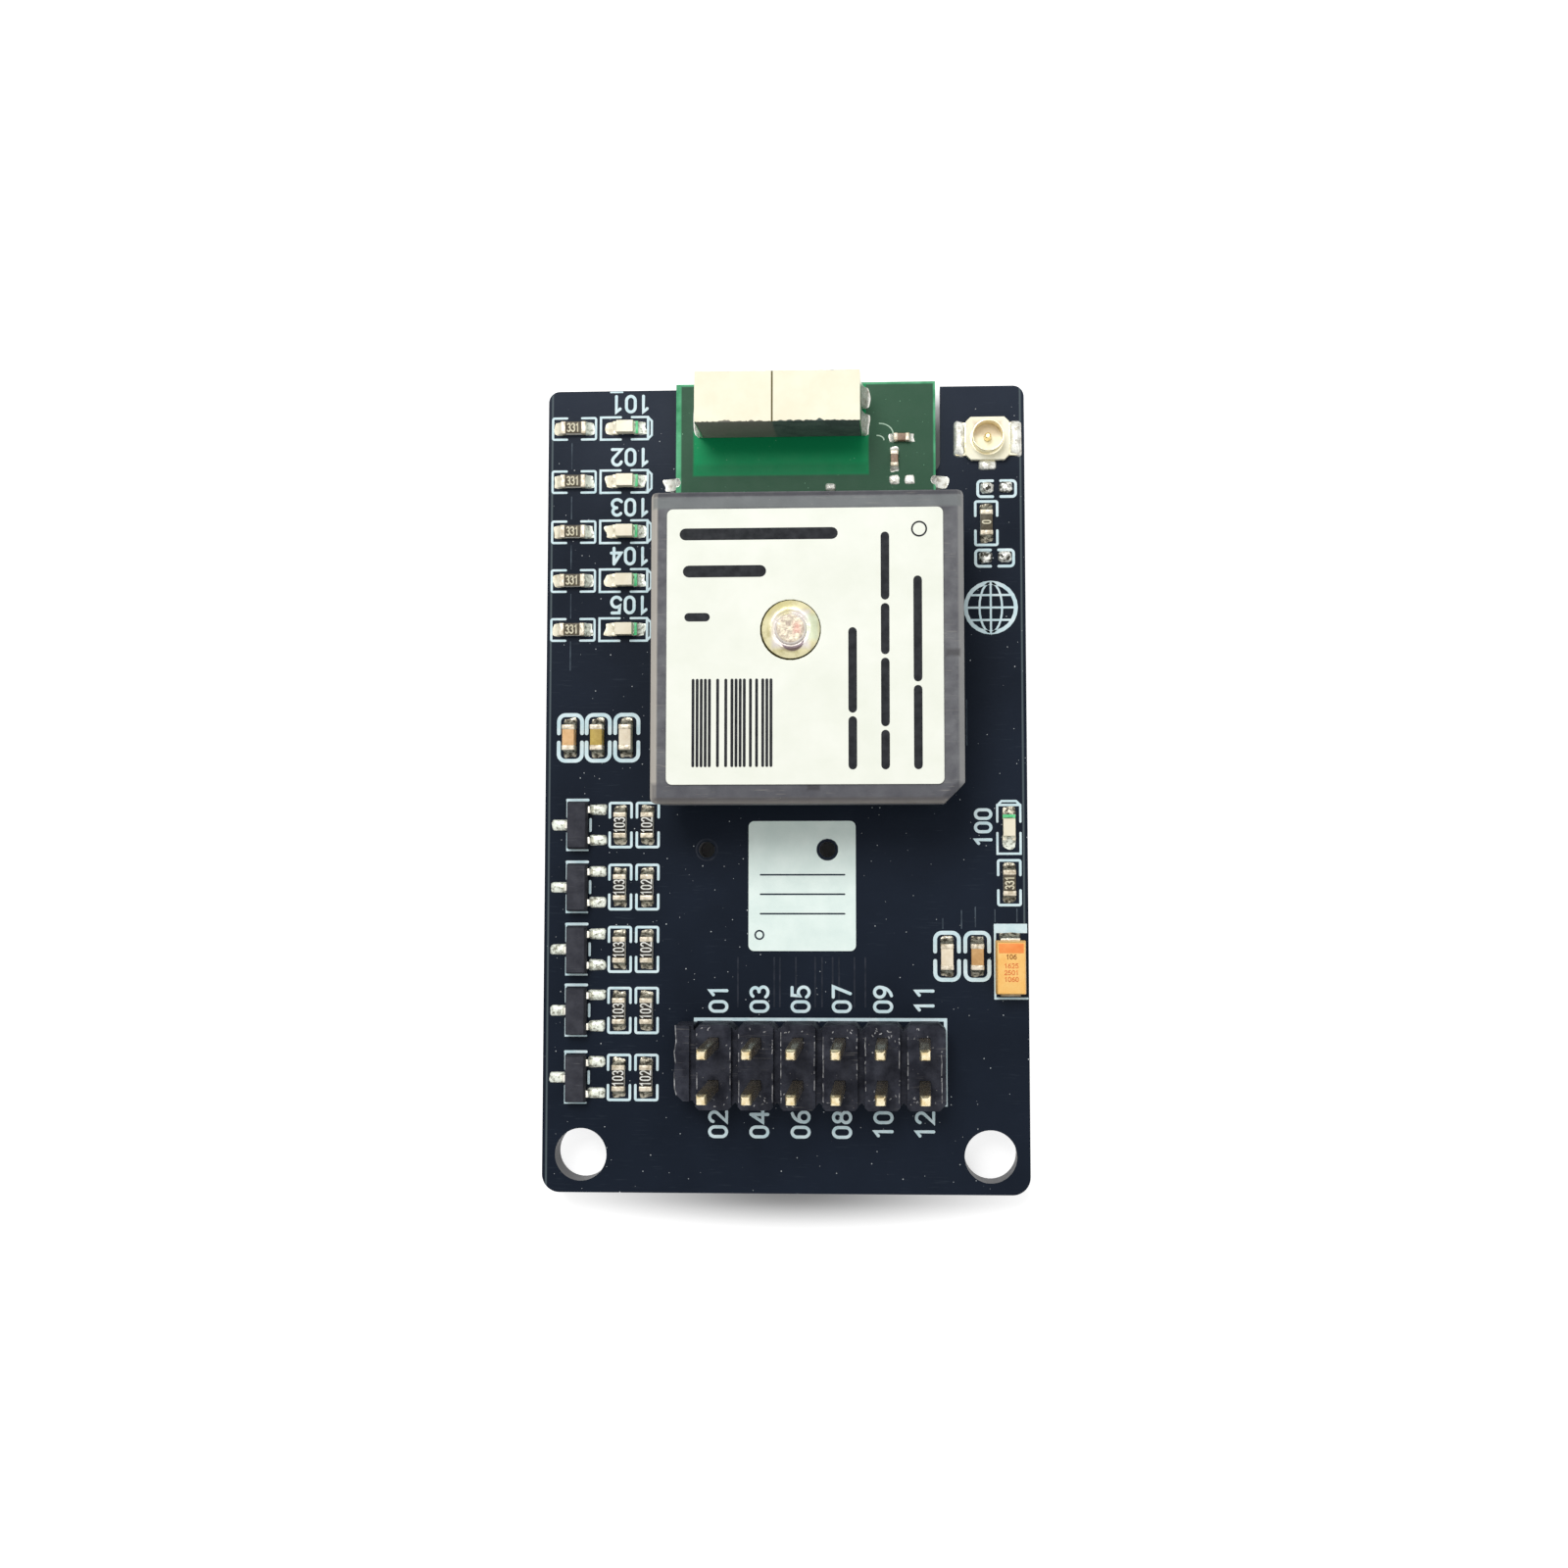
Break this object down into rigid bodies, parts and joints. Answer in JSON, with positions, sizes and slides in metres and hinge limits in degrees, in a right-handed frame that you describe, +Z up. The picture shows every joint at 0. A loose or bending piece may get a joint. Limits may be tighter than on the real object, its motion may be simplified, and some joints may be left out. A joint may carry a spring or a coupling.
{
  "type": "satellite positioning board",
  "caption": "Satellite positioning board: a dark carrier with a receiver module, ceramic patch antenna, chip antenna, coaxial socket, indicator lamps and a pin header.",
  "frame": {"origin": "middle of the board outline, at the level of the pin tail tips below the board", "axes": "+X to the right with the antenna end away from the viewer, +Y towards the antenna end, +Z up out of the face that carries the parts"},
  "size_m": [0.03, 0.05, 0.0115],
  "materials": {
    "black_laminate": "satin solder mask on glass laminate",
    "green_laminate": "satin solder mask on glass laminate",
    "tinned_sheet": "tinned",
    "solder": "bright reflowed solder",
    "black_resin": "moulded",
    "white_alumina": "fired",
    "adhesive_pad": "soft",
    "grey_ceramic": "fired, matte",
    "silver_print": "matte printed silver",
    "white_label": "satin film",
    "gold_plate": "bright plated",
    "dark_ceramic": "fired",
    "white_plastic": "moulded",
    "lamp_resin": "clear resin over a white base",
    "chip_body": "glazed top with tinned ends",
    "capacitor_body": "fired, with tinned ends",
    "orange_resin": "moulded",
    "black_plastic": "moulded"
  },
  "bodies": {
    "root": {"carrier_board": "black_laminate", "module_board": "green_laminate", "module_shield": "tinned_sheet", "module_solder": "solder", "receiver_chip": "black_resin", "crystal_oscillator": "white_alumina", "saw_filter": "white_alumina", "antenna_adhesive": "adhesive_pad", "patch_ceramic": "grey_ceramic", "patch_electrode": "silver_print", "patch_label": "white_label", "feed_pin": "gold_plate", "chip_antenna": "dark_ceramic", "chip_antenna_plates": "silver_print", "antenna_solder": "solder", "match_inductor": "chip_body", "match_capacitor": "chip_body", "coax_insulator": "white_plastic", "coax_shell": "gold_plate", "coax_contact": "gold_plate", "power_led": "lamp_resin", "power_led_resistor": "chip_body", "transistor_leads": "tinned_sheet", "tantalum_capacitor": "orange_resin", "tantalum_leads": "tinned_sheet", "antenna_link_resistor": "chip_body", "chip_solder": "solder", "header_housing": "black_plastic", "header_pins": "gold_plate", "header_solder": "solder", "status_led_1": "lamp_resin", "status_led_2": "lamp_resin", "status_led_3": "lamp_resin", "status_led_4": "lamp_resin", "status_led_5": "lamp_resin", "led_resistor_1": "chip_body", "led_resistor_2": "chip_body", "led_resistor_3": "chip_body", "led_resistor_4": "chip_body", "led_resistor_5": "chip_body", "base_resistor_1": "chip_body", "base_resistor_2": "chip_body", "base_resistor_3": "chip_body", "base_resistor_4": "chip_body", "base_resistor_5": "chip_body", "pullup_resistor_1": "chip_body", "pullup_resistor_2": "chip_body", "pullup_resistor_3": "chip_body", "pullup_resistor_4": "chip_body", "pullup_resistor_5": "chip_body", "transistor_1": "black_resin", "transistor_2": "black_resin", "transistor_3": "black_resin", "transistor_4": "black_resin", "transistor_5": "black_resin", "backup_capacitor_1": "capacitor_body", "backup_capacitor_2": "capacitor_body", "backup_capacitor_3": "capacitor_body", "supply_capacitor_1": "capacitor_body", "supply_capacitor_2": "capacitor_body"}
  },
  "joints": []
}
